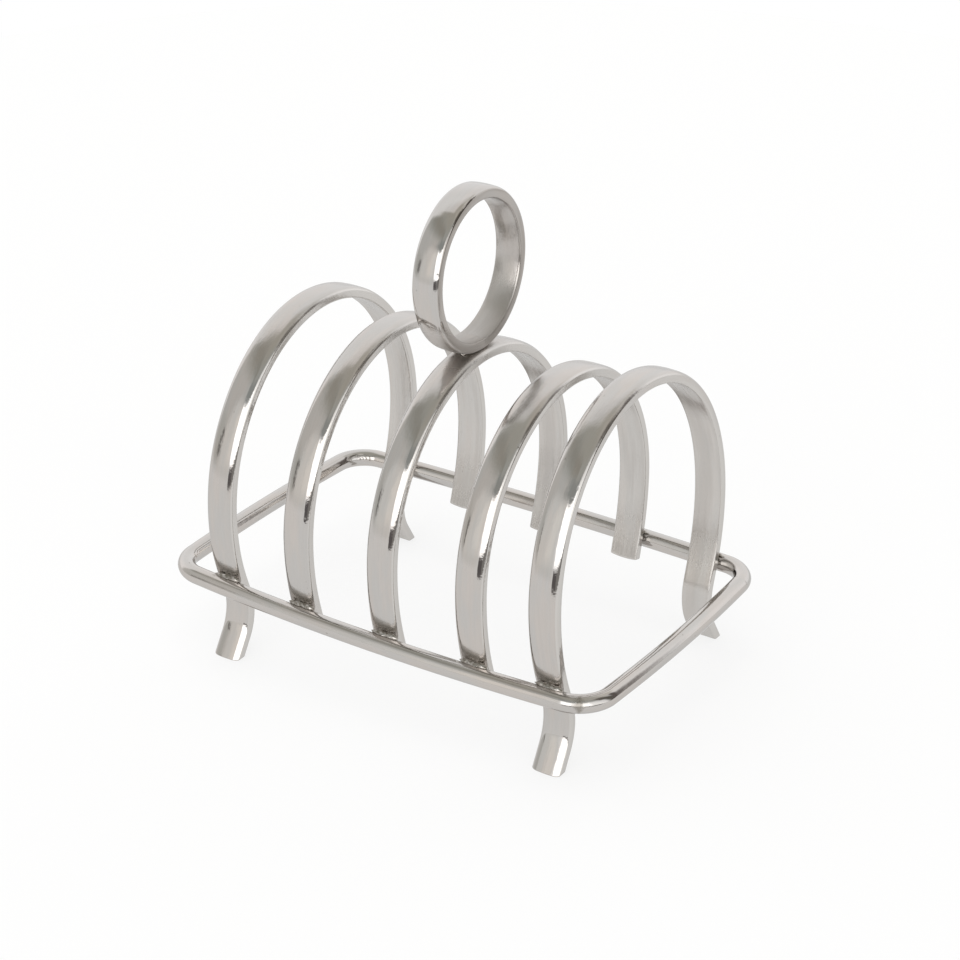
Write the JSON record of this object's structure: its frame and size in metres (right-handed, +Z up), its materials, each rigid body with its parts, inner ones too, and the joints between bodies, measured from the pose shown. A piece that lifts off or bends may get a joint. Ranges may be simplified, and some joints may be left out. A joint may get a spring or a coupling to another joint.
{
  "type": "toast rack",
  "caption": "Polished steel toast rack: a row of bent strip arches welded inside a bowed wire base, with flared feet and a ring handle on top.",
  "frame": {"origin": "on the table, under the middle of the base wire's box", "axes": "+X along the row of arches, +Y across them towards the back, +Z up"},
  "size_m": [0.142, 0.095, 0.1349],
  "materials": {
    "arch_steel": "mirror-polished stainless steel strip with fine hand-polishing lines along its length",
    "wire_steel": "polished stainless steel wire",
    "handle_steel": "polished stainless steel band, inner face satin with tooling lines",
    "weld_metal": "small stainless weld beads, heat-tinted and unpolished in the corners"
  },
  "bodies": {
    "root": {"end_arch_left": "arch_steel", "divider_arch_left": "arch_steel", "centre_arch": "arch_steel", "divider_arch_right": "arch_steel", "end_arch_right": "arch_steel", "base_wire": "wire_steel", "ring_handle": "handle_steel", "weld_end_arch_left_front": "weld_metal", "weld_end_arch_left_back": "weld_metal", "weld_divider_arch_left_front": "weld_metal", "weld_divider_arch_left_back": "weld_metal", "weld_centre_arch_front": "weld_metal", "weld_centre_arch_back": "weld_metal", "weld_divider_arch_right_front": "weld_metal", "weld_divider_arch_right_back": "weld_metal", "weld_end_arch_right_front": "weld_metal", "weld_end_arch_right_back": "weld_metal", "weld_ring_handle_front": "weld_metal", "weld_ring_handle_back": "weld_metal"}
  },
  "joints": []
}
